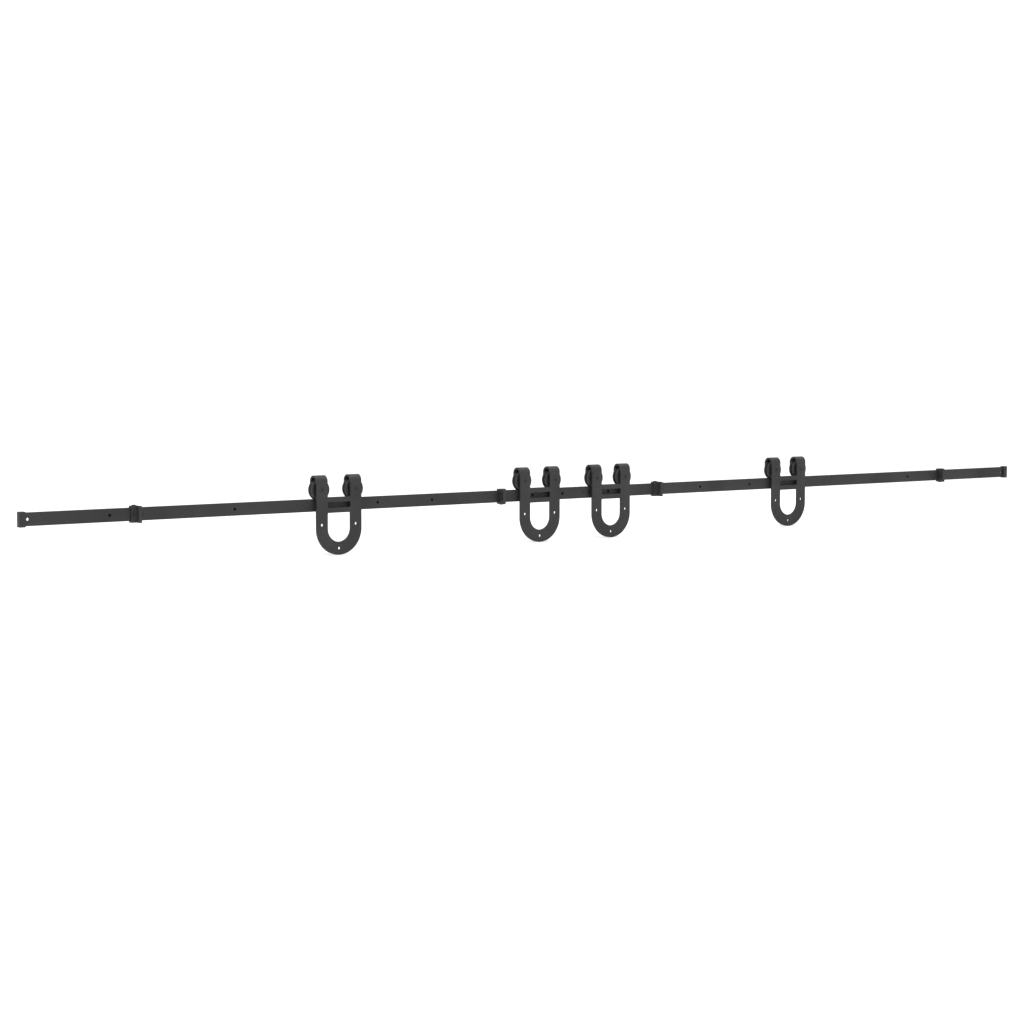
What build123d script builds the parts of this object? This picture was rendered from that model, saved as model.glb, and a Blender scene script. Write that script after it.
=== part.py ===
from build123d import *
import os

# Sliding barn door hardware for a pair of doors: a flat bar track in two rails, wall
# spacers, end caps, four clamp stops with rubber bumpers, and four horseshoe hangers
# that each roll on two grooved wheels.
#
# Frame, in millimetres: +X along the track, the wall is the plane y = 0 and the room
# is at -Y, +Z is up. The origin is on the wall, at the rails' joint and mid-height.

# Track
RAIL_LENGTH = 2000.0  # one rail; two stand end to end
RAIL_HEIGHT = 38.0
RAIL_THICK = 6.0
RAIL_EDGE = 0.8  # rounding of the bar's long edges
WALL_GAP = 38.0  # wall to the rail's back face, which is a spacer's length
HOLE_R = 4.5  # holes for the wall bolts and the door bolts
WALL_HOLES_X = (-1730, -1330, -835, -635, -245, -125, 65, 465, 690, 1470)
END_HOLE_X = 1976.0  # spare fixing holes beside the end caps, with no spacer
SPACER_R = 11.0

# Splice plate behind the joint
SPLICE_HALF_LENGTH = 50.0
SPLICE_THICK = 5.0
SPLICE_HALF_HEIGHT = 11.0  # stays below the wheels' rear flanges
SPLICE_SCREWS_X = (-38.0, -15.0, 15.0, 38.0)
SPLICE_SCREW_R = 3.0
SPLICE_HEAD_R = 6.0
SPLICE_HEAD_DEPTH = 3.0

# End caps
CAP_LENGTH = 18.0
CAP_DEPTH = 18.0
CAP_HEIGHT = 43.0
CAP_WALL = 3.0  # wall across the rail's end
CAP_ROUND = 1.0
CAP_SCREW_R = 2.0

# Clamp stops: the bumper faces +X when the direction is 1
STOPS = ((-1651, 1), (-370, -1), (270, 1), (1640, -1))
STOP_CLAMP_LENGTH = 24.0
STOP_HALF_HEIGHT = 24.0
STOP_FRONT_WALL = 6.0
STOP_BACK_LIP = 5.0
STOP_BACK_GAP = 12.0  # half of the slot that lets the stop slide past the spacers
STOP_FLANGE_THICK = 9.0
STOP_FLANGE_REACH = 18.0
STOP_ROUND = 0.8
STOP_SCREW_R = 3.0
STOP_SCREW_HEAD_R = 6.5
STOP_SCREW_HEAD_DEPTH = 2.5
STOP_SCREW_HEAD_ROUND = 1.8
STOP_GRUB_RECESS = 0.3
BUMPER_R = 9.0
BUMPER_LENGTH = 5.0
BUMPER_ROUND = 1.5
BUMPER_STEM_R = 3.0
BUMPER_STEM_LENGTH = 6.0

# Hangers
HANGERS_X = (-983.0, -227.0, 65.0, 860.0)
ARM_X = 59.5  # hanger centre to each arm's centre line
ARM_WIDTH = 39.0
PLATE_THICK = 6.0
PLATE_GAP = 13.0  # rail's centre plane to the inner face of each leg
BEND_Z = -71.0  # centre of the horseshoe's round bottom
FOLD_Z = 70.0  # centre of the fold over the wheel
WEB_HALF_HEIGHT = 23.7
WEB_SLOT_HALF_HEIGHT = 8.5
WEB_CORNER = 2.5
ARM_HOLE_Z = -59.0

# Wheels
WHEEL_R = 32.0
WHEEL_WIDTH = 20.0
GROOVE_R = 26.5
GROOVE_WIDTH = 8.0
GROOVE_MOUTH = 10.0
WHEEL_CORNER = 1.8
WHEEL_CLEARANCE = 0.3  # groove to rail
WHEEL_DISH_INNER = 16.0
WHEEL_DISH_OUTER = 23.0
WHEEL_DISH_DEPTH = 2.0

# Ball bearing, 10 x 26 x 8
AXLE_R = 5.0
BEARING_R = 13.0
BEARING_WIDTH = 8.0
OUTER_RING_BORE = 11.0
INNER_RING_R = 7.0
BALL_R = 1.7
BALL_CIRCLE_R = 9.1
BALL_COUNT = 7
SEAL_THICK = 0.8
SEAL_BORE = 7.4
SEAL_RECESS = 0.2
SLEEVE_R = 7.5

# Axle bolt and lock nut, M10
AXLE_HEAD_R = 10.0
AXLE_HEAD_DEPTH = 5.0
NUT_FLATS = 17.0
NUT_THICK = 7.0
NUT_COLLAR_R = 7.2
NUT_COLLAR_THICK = 2.5
AXLE_TAIL = 2.0  # thread past the nut

SLIP = 0.05  # radial play of a pin in its hole
EASE = 0.15  # play between a pocket and the rail
OVERCUT = 1.0  # how far a cutter stands out of the face that it enters
SOCKET_DEPTH = 2.2
SOCKET_SHARE = 1.33  # hexagon socket's width over flats, as a share of the shank's radius

# Worked-out places
RAIL_Y = -(WALL_GAP + RAIL_THICK / 2)
RAIL_FRONT = RAIL_Y - RAIL_THICK / 2
RAIL_BACK = RAIL_Y + RAIL_THICK / 2
PLATE_BACK = RAIL_Y - PLATE_GAP
PLATE_FRONT = PLATE_BACK - PLATE_THICK
LEG_FRONT = RAIL_Y + PLATE_GAP
LEG_BACK = LEG_FRONT + PLATE_THICK
AXLE_Z = RAIL_HEIGHT / 2 + WHEEL_CLEARANCE + GROOVE_R
BEND_OUTER_R = ARM_X + ARM_WIDTH / 2
BEND_INNER_R = ARM_X - ARM_WIDTH / 2
STOP_LENGTH = STOP_CLAMP_LENGTH + BUMPER_LENGTH
STOP_FRONT = RAIL_FRONT - STOP_FRONT_WALL
STOP_CLAMP_X = -BUMPER_LENGTH / 2  # middle of the clamp, counted from the stop's middle
STOP_GRUB_X = STOP_CLAMP_X - STOP_FLANGE_THICK / 2
BUMPER_Y = (PLATE_BACK + PLATE_FRONT) / 2


def block(x, y, z):
    """Box from its (low, high) spans on X, Y and Z."""
    spans = (x, y, z)
    centre = [(low + high) / 2 for low, high in spans]
    return Pos(*centre) * Box(*[high - low for low, high in spans])


def rod(axis, radius, span, at):
    """Round bar along an axis over a (low, high) span; at gives its other two places."""
    middle, length = (span[0] + span[1]) / 2, span[1] - span[0]
    if axis == "x":
        return Pos(middle, at[0], at[1]) * Rot(0, 90, 0) * Cylinder(radius, length)
    if axis == "y":
        return Pos(at[0], middle, at[1]) * Rot(90, 0, 0) * Cylinder(radius, length)
    return Pos(at[0], at[1], middle) * Cylinder(radius, length)


def cone_y(front_r, back_r, span, at):
    """Cone along Y, with its radius at the front (-Y) and at the back."""
    middle = (span[0] + span[1]) / 2
    return Pos(at[0], middle, at[1]) * Rot(90, 0, 0) * Cone(back_r, front_r, span[1] - span[0])


def hexagon(flats, length):
    """Hexagonal prism about Z, centred on the origin."""
    outline = RegularPolygon(radius=flats / 2, side_count=6, major_radius=False)
    return extrude(outline, amount=length / 2, both=True)


def save(node, *solids):
    """Write one node, as one solid or as a group of separate solids."""
    shape = solids[0] if len(solids) == 1 else Compound(children=list(solids))
    export_step(shape, f"parts/{node}.step")


def rail(side):
    """One flat bar of the track; side is -1 for the left bar and 1 for the right."""
    section = Plane.YZ * RectangleRounded(RAIL_THICK, RAIL_HEIGHT, RAIL_EDGE)
    start = -RAIL_LENGTH if side < 0 else 0.0
    bar = Pos(start, RAIL_Y, 0) * extrude(section, RAIL_LENGTH)
    for x in [x for x in WALL_HOLES_X if x * side > 0] + [side * END_HOLE_X]:
        bar -= rod("y", HOLE_R, (RAIL_FRONT - OVERCUT, RAIL_BACK + OVERCUT), (x, 0))
    for x in [x for x in SPLICE_SCREWS_X if x * side > 0]:
        sink = (RAIL_FRONT, RAIL_FRONT + SPLICE_HEAD_DEPTH)
        bar -= rod("y", SPLICE_SCREW_R + SLIP, (RAIL_FRONT - OVERCUT, RAIL_BACK + OVERCUT), (x, 0))
        bar -= cone_y(SPLICE_HEAD_R + SLIP, SPLICE_SCREW_R + SLIP, sink, (x, 0))
    return bar


def splice_plate():
    """Flat plate behind the joint, threaded for the four splice screws."""
    span_x = (-SPLICE_HALF_LENGTH, SPLICE_HALF_LENGTH)
    span_z = (-SPLICE_HALF_HEIGHT, SPLICE_HALF_HEIGHT)
    plate = block(span_x, (RAIL_BACK, RAIL_BACK + SPLICE_THICK), span_z)
    plate = chamfer(plate.edges().filter_by(Axis.Y), RAIL_EDGE)
    for x in SPLICE_SCREWS_X:
        hole = (RAIL_BACK - OVERCUT, RAIL_BACK + SPLICE_THICK + OVERCUT)
        plate -= rod("y", SPLICE_SCREW_R + SLIP, hole, (x, 0))
    return plate


def splice_screw(x):
    """Countersunk screw, flush with the rail's front face."""
    head = (RAIL_FRONT, RAIL_FRONT + SPLICE_HEAD_DEPTH)
    shank = (head[1], RAIL_BACK + SPLICE_THICK)
    screw = cone_y(SPLICE_HEAD_R, SPLICE_SCREW_R, head, (x, 0))
    screw += rod("y", SPLICE_SCREW_R, shank, (x, 0))
    socket = Pos(x, RAIL_FRONT, 0) * Rot(90, 0, 0) * hexagon(SPLICE_SCREW_R * SOCKET_SHARE, 2 * SOCKET_DEPTH)
    return screw - socket


def wall_spacer(x):
    """Tube that holds the rail off the wall round one wall bolt."""
    tube = rod("y", SPACER_R, (RAIL_BACK, 0), (x, 0))
    tube = chamfer(tube.edges().filter_by(GeomType.CIRCLE), RAIL_EDGE)
    return tube - rod("y", HOLE_R, (RAIL_BACK - OVERCUT, OVERCUT), (x, 0))


def end_cap(side):
    """Cap pushed over one end of the track."""
    end = RAIL_LENGTH + CAP_WALL
    half = CAP_DEPTH / 2
    cap = block((end - CAP_LENGTH, end), (RAIL_Y - half, RAIL_Y + half), (-CAP_HEIGHT / 2, CAP_HEIGHT / 2))
    cap = fillet(cap.edges(), CAP_ROUND)
    pocket_y = (RAIL_FRONT - EASE, RAIL_BACK + EASE)
    pocket_z = (-RAIL_HEIGHT / 2 - EASE, RAIL_HEIGHT / 2 + EASE)
    cap -= block((end - CAP_LENGTH - OVERCUT, RAIL_LENGTH + EASE), pocket_y, pocket_z)
    cap -= rod("y", CAP_SCREW_R + SLIP, (RAIL_BACK, RAIL_Y + half + OVERCUT), (end - CAP_LENGTH / 2, 0))
    return cap if side > 0 else mirror(cap, about=Plane.YZ)


def end_cap_screw(side):
    """Grub screw in the back of one end cap."""
    back = RAIL_Y + CAP_DEPTH / 2
    at = (side * (RAIL_LENGTH + CAP_WALL - CAP_LENGTH / 2), 0)
    screw = rod("y", CAP_SCREW_R, (RAIL_BACK + SLIP, back - SLIP), at)
    socket = Pos(at[0], back, 0) * Rot(90, 0, 0) * hexagon(CAP_SCREW_R, 2 * SOCKET_DEPTH)
    return screw - socket


def placed_stop(piece, place):
    """Set a piece of a stop on the track, turned over about Y if it faces -X."""
    x, direction = place
    return Pos(x, 0, 0) * Rot(0, 0 if direction > 0 else 180, 0) * piece


def stop_clamp():
    """Sleeve round the rail, open at the back, with a flange towards the room."""
    low, high = -STOP_LENGTH / 2, STOP_LENGTH / 2 - BUMPER_LENGTH
    tall = (-STOP_HALF_HEIGHT, STOP_HALF_HEIGHT)
    sleeve = block((low, high), (STOP_FRONT, RAIL_BACK + STOP_BACK_LIP), tall)
    flange_y = (STOP_FRONT - STOP_FLANGE_REACH, STOP_FRONT + OVERCUT)
    flange = block((high - STOP_FLANGE_THICK, high), flange_y, tall)
    body = fillet((sleeve + flange).edges(), STOP_ROUND)
    span = (low - OVERCUT, high + OVERCUT)
    half = RAIL_HEIGHT / 2 + EASE
    body -= block(span, (RAIL_FRONT - EASE, RAIL_BACK + EASE), (-half, half))
    body -= block(span, (RAIL_BACK, RAIL_BACK + STOP_BACK_LIP + OVERCUT), (-STOP_BACK_GAP, STOP_BACK_GAP))
    body -= rod("y", STOP_SCREW_R + SLIP, (STOP_FRONT - OVERCUT, RAIL_FRONT), (STOP_GRUB_X, 0))
    tapped = (half - OVERCUT, STOP_HALF_HEIGHT + OVERCUT)
    body -= rod("z", STOP_SCREW_R + SLIP, tapped, (STOP_CLAMP_X, RAIL_Y))
    stem = (high - BUMPER_STEM_LENGTH - SLIP, high + OVERCUT)
    return body - rod("x", BUMPER_STEM_R + SLIP, stem, (BUMPER_Y, 0))


def stop_bumper():
    """Rubber buffer with a stem that sits in the flange."""
    face = STOP_LENGTH / 2
    foot = face - BUMPER_LENGTH
    disc = rod("x", BUMPER_R, (foot, face), (BUMPER_Y, 0))
    disc = fillet(disc.edges().group_by(Axis.X)[-1], BUMPER_ROUND)
    return disc + rod("x", BUMPER_STEM_R, (foot - BUMPER_STEM_LENGTH, foot), (BUMPER_Y, 0))


def stop_front_screw():
    """Grub screw that bears on the rail's front face."""
    screw = rod("y", STOP_SCREW_R, (STOP_FRONT + STOP_GRUB_RECESS, RAIL_FRONT - SLIP), (STOP_GRUB_X, 0))
    socket = Pos(STOP_GRUB_X, STOP_FRONT, 0) * Rot(90, 0, 0) * hexagon(STOP_SCREW_R, 2 * SOCKET_DEPTH)
    return screw - socket


def stop_button_screw():
    """Button head screw that bears on the rail's edge."""
    at = (STOP_CLAMP_X, RAIL_Y)
    top = STOP_HALF_HEIGHT + STOP_SCREW_HEAD_DEPTH
    head = rod("z", STOP_SCREW_HEAD_R, (STOP_HALF_HEIGHT, top), at)
    head = fillet(head.edges().group_by(Axis.Z)[-1], STOP_SCREW_HEAD_ROUND)
    screw = head + rod("z", STOP_SCREW_R, (RAIL_HEIGHT / 2 + SLIP, STOP_HALF_HEIGHT), at)
    return screw - Pos(at[0], at[1], top) * hexagon(STOP_SCREW_R * SOCKET_SHARE, 2 * SOCKET_DEPTH)


def horseshoe():
    """Hanger plate's flat outline, with the slotted web between the arms."""
    arms_height = FOLD_Z - BEND_Z
    middle = (FOLD_Z + BEND_Z) / 2
    outer = Pos(0, middle) * Rectangle(2 * BEND_OUTER_R, arms_height) + Pos(0, BEND_Z) * Circle(BEND_OUTER_R)
    inner = Pos(0, middle) * Rectangle(2 * BEND_INNER_R, arms_height) + Pos(0, BEND_Z) * Circle(BEND_INNER_R)
    slot = Rectangle(2 * BEND_INNER_R, 2 * WEB_SLOT_HALF_HEIGHT)
    outline = outer - inner + Rectangle(2 * BEND_INNER_R, 2 * WEB_HALF_HEIGHT) - slot
    corners = [v for v in outline.vertices() if abs(v.Y) < WEB_HALF_HEIGHT + WEB_CORNER]
    return fillet(corners, WEB_CORNER)


def hanger_plate():
    """Horseshoe plate whose two arms fold back over the wheels."""
    plate = Pos(0, PLATE_BACK, 0) * extrude(Plane.XZ * horseshoe(), PLATE_THICK)
    inner_r, outer_r = PLATE_GAP, PLATE_GAP + PLATE_THICK
    for x in (-ARM_X, ARM_X):
        span = (x - ARM_WIDTH / 2, x + ARM_WIDTH / 2)
        fold = rod("x", outer_r, span, (RAIL_Y, FOLD_Z)) - rod("x", inner_r, span, (RAIL_Y, FOLD_Z))
        plate += fold & block(span, (PLATE_FRONT, LEG_BACK), (FOLD_Z, FOLD_Z + outer_r))
        leg = block(span, (LEG_FRONT, LEG_BACK), (AXLE_Z, FOLD_Z))
        plate += leg + rod("y", ARM_WIDTH / 2, (LEG_FRONT, LEG_BACK), (x, AXLE_Z))
        plate -= rod("y", AXLE_R + SLIP, (PLATE_FRONT - OVERCUT, LEG_BACK + OVERCUT), (x, AXLE_Z))
        sink = (PLATE_FRONT, PLATE_FRONT + AXLE_HEAD_DEPTH)
        plate -= cone_y(AXLE_HEAD_R + SLIP, AXLE_R + SLIP, sink, (x, AXLE_Z))
        plate -= rod("y", HOLE_R, (PLATE_FRONT - OVERCUT, PLATE_BACK + OVERCUT), (x, ARM_HOLE_Z))
    return plate - rod("y", HOLE_R, (PLATE_FRONT - OVERCUT, PLATE_BACK + OVERCUT), (0, BEND_Z - ARM_X))


def axle_bolt(x):
    """Countersunk axle bolt through the plate, the wheel and the back leg."""
    head = (PLATE_FRONT, PLATE_FRONT + AXLE_HEAD_DEPTH)
    end = LEG_BACK + NUT_THICK + NUT_COLLAR_THICK + AXLE_TAIL
    shank = rod("y", AXLE_R, (head[1], end), (x, AXLE_Z))
    shank = chamfer(shank.edges().group_by(Axis.Y)[-1], RAIL_EDGE)
    bolt = cone_y(AXLE_HEAD_R, AXLE_R, head, (x, AXLE_Z)) + shank
    socket = hexagon(AXLE_R * SOCKET_SHARE, 2 * SOCKET_DEPTH)
    return bolt - Pos(x, PLATE_FRONT, AXLE_Z) * Rot(90, 0, 0) * socket


def lock_nut(x):
    """Hexagon lock nut with a round collar, on the back leg."""
    nut = Pos(x, LEG_BACK + NUT_THICK / 2, AXLE_Z) * Rot(90, 0, 0) * hexagon(NUT_FLATS, NUT_THICK)
    collar = (LEG_BACK + NUT_THICK, LEG_BACK + NUT_THICK + NUT_COLLAR_THICK)
    nut += rod("y", NUT_COLLAR_R, collar, (x, AXLE_Z))
    return nut - rod("y", AXLE_R + SLIP, (LEG_BACK - OVERCUT, collar[1] + OVERCUT), (x, AXLE_Z))


def ring(outer_r, inner_r, span, x):
    """Plain ring round the axle, over a span on Y."""
    outer = rod("y", outer_r, span, (x, AXLE_Z))
    return outer - rod("y", inner_r, (span[0] - OVERCUT, span[1] + OVERCUT), (x, AXLE_Z))


def wheel(x):
    """Grooved wheel, dished on both faces, bored from the back for its bearing."""
    half, corner = WHEEL_WIDTH / 2, WHEEL_CORNER
    groove, mouth = GROOVE_WIDTH / 2, GROOVE_MOUTH / 2
    lip = BEARING_WIDTH / 2 + SLIP
    profile = Polyline(
        (OUTER_RING_BORE, -half), (WHEEL_DISH_INNER, -half), (WHEEL_DISH_INNER, WHEEL_DISH_DEPTH - half),
        (WHEEL_DISH_OUTER, WHEEL_DISH_DEPTH - half), (WHEEL_DISH_OUTER, -half),
        (WHEEL_R - corner, -half), (WHEEL_R, corner - half), (WHEEL_R, -mouth), (GROOVE_R, -groove),
        (GROOVE_R, groove), (WHEEL_R, mouth), (WHEEL_R, half - corner), (WHEEL_R - corner, half),
        (WHEEL_DISH_OUTER, half), (WHEEL_DISH_OUTER, half - WHEEL_DISH_DEPTH),
        (WHEEL_DISH_INNER, half - WHEEL_DISH_DEPTH), (WHEEL_DISH_INNER, half),
        (BEARING_R + SLIP, half), (BEARING_R + SLIP, -lip), (OUTER_RING_BORE, -lip), close=True)
    turned = revolve(make_face(profile), Axis.Y)
    return Pos(x, RAIL_Y, AXLE_Z) * turned


def bearing(x):
    """Turning half of the ball bearing: outer ring, two seals and the balls."""
    half = BEARING_WIDTH / 2
    solids = [ring(BEARING_R, OUTER_RING_BORE, (RAIL_Y - half, RAIL_Y + half), x)]
    for side in (-1, 1):
        edge = RAIL_Y + side * half
        span = sorted((edge - side * SEAL_RECESS, edge - side * (SEAL_RECESS + SEAL_THICK)))
        solids.append(ring(OUTER_RING_BORE, SEAL_BORE, span, x))
    for ball in PolarLocations(BALL_CIRCLE_R, BALL_COUNT):
        flat = ball.position
        solids.append(Pos(x + flat.X, RAIL_Y, AXLE_Z + flat.Y) * Sphere(BALL_R))
    return solids


os.makedirs("parts", exist_ok=True)

for side, name in ((-1, "left"), (1, "right")):
    save(f"rail_{name}", rail(side))
    save(f"end_cap_{name}", end_cap(side))
save("end_cap_screws", *[end_cap_screw(side) for side in (-1, 1)])
save("splice_plate", splice_plate())
save("splice_screws", *[splice_screw(x) for x in SPLICE_SCREWS_X])
save("wall_spacers", *[wall_spacer(x) for x in WALL_HOLES_X])

for number, place in enumerate(STOPS, 1):
    save(f"stop_{number}_clamp", placed_stop(stop_clamp(), place))
    save(f"stop_{number}_bumper", placed_stop(stop_bumper(), place))
    screws = [placed_stop(screw, place) for screw in (stop_front_screw(), stop_button_screw())]
    save(f"stop_{number}_screws", *screws)

plate = hanger_plate()
inner_ring_span = (RAIL_Y - BEARING_WIDTH / 2, RAIL_Y + BEARING_WIDTH / 2)
sleeve_spans = ((PLATE_BACK, inner_ring_span[0]), (inner_ring_span[1], LEG_FRONT))
for number, hanger_x in enumerate(HANGERS_X, 1):
    axles = {"left": hanger_x - ARM_X, "right": hanger_x + ARM_X}
    save(f"hanger_{number}_plate", Pos(hanger_x, 0, 0) * plate)
    save(f"hanger_{number}_axle_bolts", *[axle_bolt(x) for x in axles.values()])
    save(f"hanger_{number}_lock_nuts", *[lock_nut(x) for x in axles.values()])
    inner_rings = [ring(INNER_RING_R, AXLE_R + SLIP, inner_ring_span, x) for x in axles.values()]
    save(f"hanger_{number}_inner_rings", *inner_rings)
    sleeves = [ring(SLEEVE_R, AXLE_R + SLIP, span, x) for x in axles.values() for span in sleeve_spans]
    save(f"hanger_{number}_sleeves", *sleeves)
    for name, x in axles.items():
        save(f"wheel_{number}_{name}", wheel(x))
        save(f"wheel_{number}_{name}_bearing", *bearing(x))
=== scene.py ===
# %% [markdown]
# # Sliding barn door hardware
# This lesson dresses a flat bar track, its stops and four horseshoe hangers for a picture. The
# measured model comes in first and never moves: every piece made here goes where that model has
# it, rides on the same moving body, and stands for one of its nodes.

from math import cos, pi, radians, sin

import bmesh
import bpy
from mathutils import Matrix, Vector


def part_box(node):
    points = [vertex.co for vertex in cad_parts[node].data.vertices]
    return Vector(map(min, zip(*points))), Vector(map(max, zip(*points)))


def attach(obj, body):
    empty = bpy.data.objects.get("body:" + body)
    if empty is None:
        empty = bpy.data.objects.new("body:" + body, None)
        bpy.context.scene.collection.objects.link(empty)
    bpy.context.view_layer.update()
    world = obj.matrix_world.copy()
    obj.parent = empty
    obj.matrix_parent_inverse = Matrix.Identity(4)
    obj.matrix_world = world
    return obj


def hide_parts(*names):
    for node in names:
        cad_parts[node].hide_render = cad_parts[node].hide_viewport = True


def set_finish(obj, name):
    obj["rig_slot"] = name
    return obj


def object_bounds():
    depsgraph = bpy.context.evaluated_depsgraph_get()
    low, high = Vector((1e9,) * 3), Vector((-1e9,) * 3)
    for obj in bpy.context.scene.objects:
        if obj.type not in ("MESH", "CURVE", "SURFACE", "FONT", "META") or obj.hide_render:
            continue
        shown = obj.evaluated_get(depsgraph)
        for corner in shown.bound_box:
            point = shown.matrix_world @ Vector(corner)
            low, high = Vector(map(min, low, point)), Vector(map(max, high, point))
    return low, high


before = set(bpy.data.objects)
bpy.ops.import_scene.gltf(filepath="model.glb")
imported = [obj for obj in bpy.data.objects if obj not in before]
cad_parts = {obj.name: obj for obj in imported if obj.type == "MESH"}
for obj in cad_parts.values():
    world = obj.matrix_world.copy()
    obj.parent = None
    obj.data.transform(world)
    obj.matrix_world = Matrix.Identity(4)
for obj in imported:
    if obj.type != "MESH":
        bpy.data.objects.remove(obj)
cad_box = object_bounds()
print("track length", round(cad_box[1].x - cad_box[0].x, 3), "m,", len(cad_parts), "nodes")

# %% [markdown]
# ## Sizes
# A maker reads a drawing in millimetres, so the sizes are kept that way and turned into metres
# once. Where the frame already holds a place, such as an axle, it is read from there.

# %% Name the sizes
MM = 0.001
RAIL_HEIGHT = 38 * MM
RAIL_THICK = 6 * MM
RAIL_EDGE = 0.8 * MM
RAIL_Y = -41 * MM
HOLE_R = 4.5 * MM
STRAP_WIDTH = 39 * MM
STRAP_THICK = 6 * MM
PLATE_FRONT = -60 * MM
LEG_BACK = -22 * MM
BEND_Z = -71 * MM
FOLD_Z = 70 * MM
WEB_HIGH = 23.7 * MM
WEB_LOW = 8.5 * MM
NUMBERS = (1, 2, 3, 4)
SIDES = ("left", "right")


def in_mm(size):
    """Sizes in metres as rounded millimetres, for printing."""
    return tuple(round(v / MM, 1) for v in size)


print("bar", in_mm((RAIL_HEIGHT, RAIL_THICK)), "mm, strap", in_mm((STRAP_WIDTH, STRAP_THICK)), "mm")

# %% [markdown]
# ## Working by hand, in code
# Each piece starts as a primitive and is shaped in edit mode. An operator acts on whatever is
# selected, so the helpers below clear the selection first, and then pick faces or edges by
# where they are and which way they point, as one would click them. A face or an edge counts as
# square to an axis when its direction is nearly along it, and as lying across one when it isn't.

# %% Helpers to start, pick and close a piece
SQUARE = 0.9
ACROSS = 0.5


def start(name, add, **where):
    """Add one primitive, write its place into its mesh and open it in edit mode."""
    bpy.ops.object.select_all(action="DESELECT")
    add(**where)
    piece = bpy.context.object
    piece.name = piece.data.name = name
    bpy.ops.object.transform_apply(location=True, rotation=True, scale=True)
    bpy.ops.object.mode_set(mode="EDIT")
    return piece


def start_bar(name, low, high):
    """A square bar between two corners, open in edit mode."""
    low, high = Vector(low), Vector(high)
    add = bpy.ops.mesh.primitive_cube_add
    return start(name, add, size=1, location=(low + high) / 2, scale=high - low)


def start_round(name, radius, length, place, axis="Y", sides=64):
    """A round bar centred on a place, open in edit mode."""
    turn = {"X": (0, pi / 2, 0), "Y": (pi / 2, 0, 0), "Z": (0, 0, 0)}[axis]
    add = bpy.ops.mesh.primitive_cylinder_add
    return start(name, add, vertices=sides, radius=radius, depth=length, location=place, rotation=turn)


def pick(kind, test):
    """Select only the parts whose middle and direction pass the test, and say how many."""
    bpy.ops.mesh.select_mode(type=kind)
    bpy.ops.mesh.select_all(action="DESELECT")
    mesh = bmesh.from_edit_mesh(bpy.context.object.data)
    count = 0
    for part in {"VERT": mesh.verts, "EDGE": mesh.edges, "FACE": mesh.faces}[kind]:
        if kind == "VERT":
            middle, direction = part.co, part.normal
        elif kind == "EDGE":
            middle = (part.verts[0].co + part.verts[1].co) / 2
            direction = (part.verts[1].co - part.verts[0].co).normalized()
        else:
            middle, direction = part.calc_center_median(), part.normal
        if test(middle, direction):
            part.select_set(True)
            count += 1
    mesh.select_flush_mode()
    bmesh.update_edit_mesh(bpy.context.object.data)
    return count


def push(x=0.0, y=0.0, z=0.0):
    """Extrude the selected faces by a distance."""
    bpy.ops.mesh.extrude_region_move(TRANSFORM_OT_translate={"value": (x, y, z)})


def slice_at(place, normal):
    """Cut a new edge loop through the whole piece, on a plane."""
    bpy.ops.mesh.select_all(action="SELECT")
    bpy.ops.mesh.bisect(plane_co=place, plane_no=normal)


def near(a, b, slack=0.05 * MM):
    return abs(a - b) < slack


def leave():
    """Back to object mode, with only the edited piece selected."""
    bpy.ops.object.mode_set(mode="OBJECT")
    piece = bpy.context.object
    bpy.ops.object.select_all(action="DESELECT")
    piece.select_set(True)
    return piece


# %% [markdown]
# Holes and pockets are cut with a Boolean modifier and a second body, as a drill or mill cuts
# them. Afterwards a Bevel modifier breaks every sharp edge a little, because no real edge is
# perfectly sharp and the broken edge is what catches the light.

# %% Helpers to cut, ease, copy and join
def boolean(piece, tools, operation="DIFFERENCE"):
    """Cut, fuse or intersect the piece with tool bodies, which are used up."""
    for tool in tools:
        change = piece.modifiers.new("shape", "BOOLEAN")
        change.operation = operation
        change.solver = "EXACT"
        change.object = tool
        bpy.ops.object.select_all(action="DESELECT")
        bpy.context.view_layer.objects.active = piece
        bpy.ops.object.modifier_apply(modifier=change.name)
        bpy.data.objects.remove(tool)
    return piece


def drill(radius, length, place, axis="Y", sides=48):
    """A round cutting tool."""
    start_round("drill", radius, length, place, axis, sides)
    return leave()


def countersink(front_r, back_r, depth, place):
    """A cone that opens towards the room, from its front face at a place."""
    start_round("sink", front_r, depth, place + Vector((0, depth / 2, 0)))
    pick("VERT", lambda at, _: at.y > place.y + depth / 2)
    share = back_r / front_r
    bpy.ops.transform.resize(value=(share, 1, share), center_override=place)
    pick("FACE", lambda _, way: way.y < -SQUARE)
    push(y=-1 * MM)
    return leave()


def ease(piece, width, segments=2, angle=40):
    """Break the sharp edges and smooth the round faces."""
    bpy.ops.object.select_all(action="DESELECT")
    bpy.context.view_layer.objects.active = piece
    piece.select_set(True)
    change = piece.modifiers.new("ease", "BEVEL")
    change.width = width
    change.segments = segments
    change.limit_method = "ANGLE"
    change.angle_limit = radians(angle)
    bpy.ops.object.modifier_apply(modifier=change.name)
    bpy.ops.object.shade_smooth_by_angle(angle=radians(30))
    return piece


def copied(piece, name, shift, turned=False):
    """A copy with its own mesh, moved by a shift and, if asked, turned over about Y first."""
    bpy.ops.object.select_all(action="DESELECT")
    bpy.context.view_layer.objects.active = piece
    piece.select_set(True)
    bpy.ops.object.duplicate(linked=False)
    twin = bpy.context.object
    twin.name = twin.data.name = name
    if turned:
        twin.data.transform(Matrix.Rotation(pi, 4, "Y"))
    twin.data.transform(Matrix.Translation(shift))
    return twin


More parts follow.
